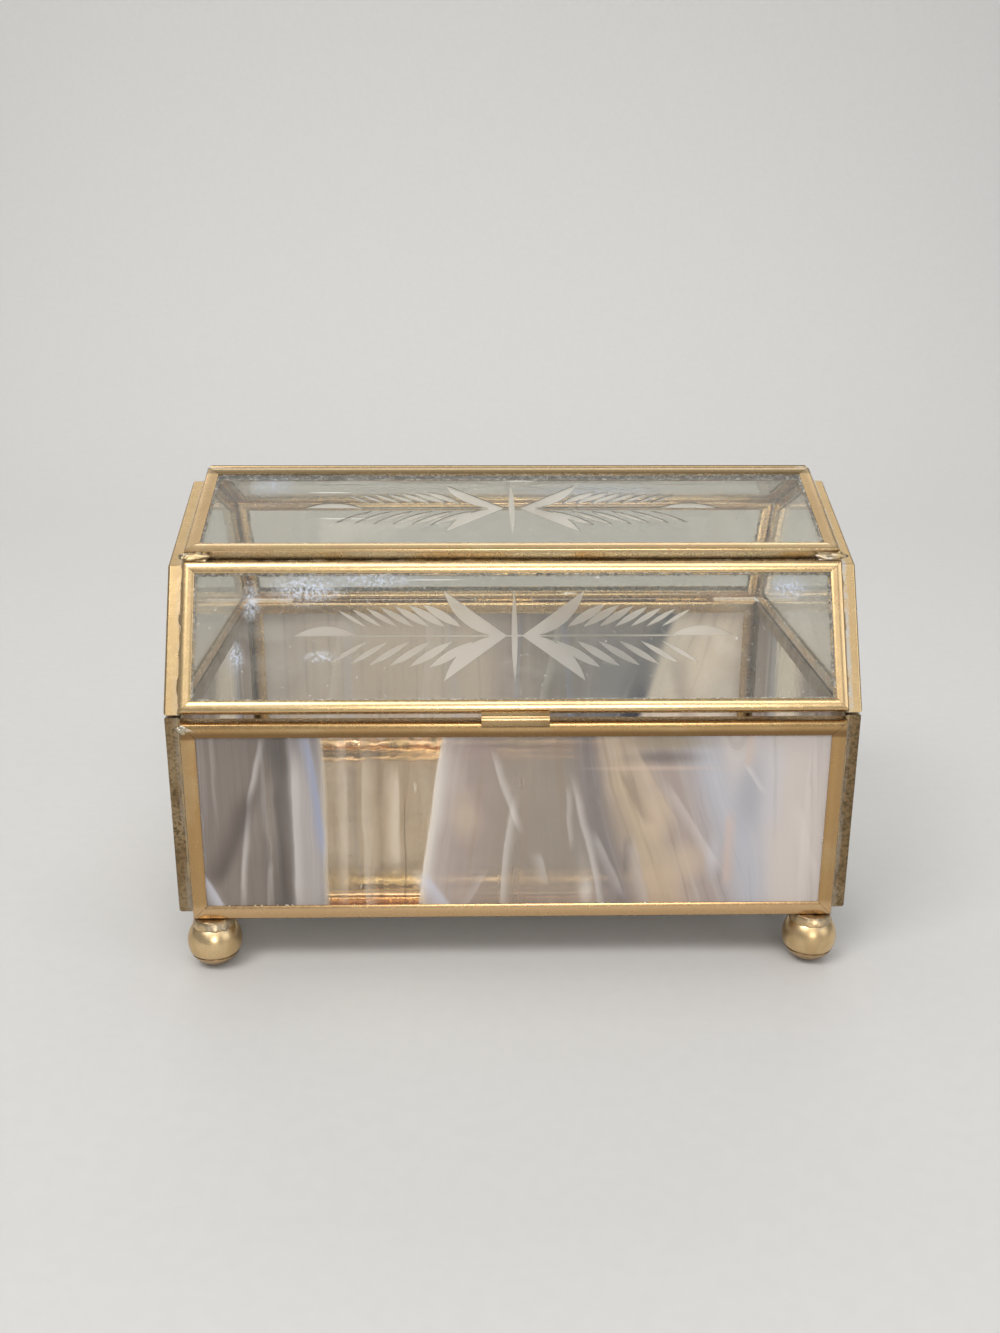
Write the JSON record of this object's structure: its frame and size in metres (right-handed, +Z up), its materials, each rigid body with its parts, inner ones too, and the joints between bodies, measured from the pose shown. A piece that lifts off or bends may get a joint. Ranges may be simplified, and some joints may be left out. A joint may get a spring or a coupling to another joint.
{
  "type": "glass casket box",
  "caption": "Rectangular brass-framed glass box on ball feet, with streaked glass walls, a mirror floor and a hinged clear gabled lid with a cut leaf spray.",
  "frame": {"origin": "middle of the footprint, level with the table under the ball feet", "axes": "+Z up, X along the length of the box, -Y towards the front with the lift tab"},
  "size_m": [0.152, 0.109, 0.1055],
  "materials": {
    "streaked_glass": "translucent grey and white streaks",
    "clear_glass": "clear",
    "cut_clear_glass": "clear with frosted wheel cuts",
    "floor_mirror": "silvered",
    "base_brass": "satin, aged",
    "lid_brass": "satin, aged",
    "floor_brass": "satin, coppery",
    "foot_brass": "polished, worn",
    "hinge_brass": "satin",
    "hinge_wire": "drawn",
    "tab_brass": "satin, aged",
    "solder": "tinned, dull"
  },
  "bodies": {
    "base": {"base_front_glass": "streaked_glass", "base_back_glass": "streaked_glass", "base_left_glass": "streaked_glass", "base_right_glass": "streaked_glass", "floor_mirror": "floor_mirror", "base_front_frame": "base_brass", "base_back_frame": "base_brass", "base_left_frame": "base_brass", "base_right_frame": "base_brass", "floor_frame": "floor_brass", "base_corner_solder": "solder", "front_left_foot": "foot_brass", "front_right_foot": "foot_brass", "back_left_foot": "foot_brass", "back_right_foot": "foot_brass", "foot_solder": "solder", "base_hinge_knuckles": "hinge_brass", "hinge_wire": "hinge_wire"},
    "lid": {"lid_front_glass": "cut_clear_glass", "lid_back_glass": "clear_glass", "roof_front_glass": "cut_clear_glass", "roof_back_glass": "cut_clear_glass", "lid_left_glass": "clear_glass", "lid_right_glass": "clear_glass", "lid_front_frame": "lid_brass", "lid_back_frame": "lid_brass", "roof_front_frame": "lid_brass", "roof_back_frame": "lid_brass", "lid_left_frame": "lid_brass", "lid_right_frame": "lid_brass", "lid_corner_solder": "solder", "shoulder_and_ridge_solder": "solder", "lift_tab": "tab_brass", "lid_hinge_knuckles": "hinge_brass"}
  },
  "joints": [
    {"name": "lid_hinge", "type": "hinge", "parent": "base", "child": "lid", "pos_m": [0, 0.05002, 0.05971], "axis": [-1, 0, 0], "range_deg": [0, 120]}
  ]
}
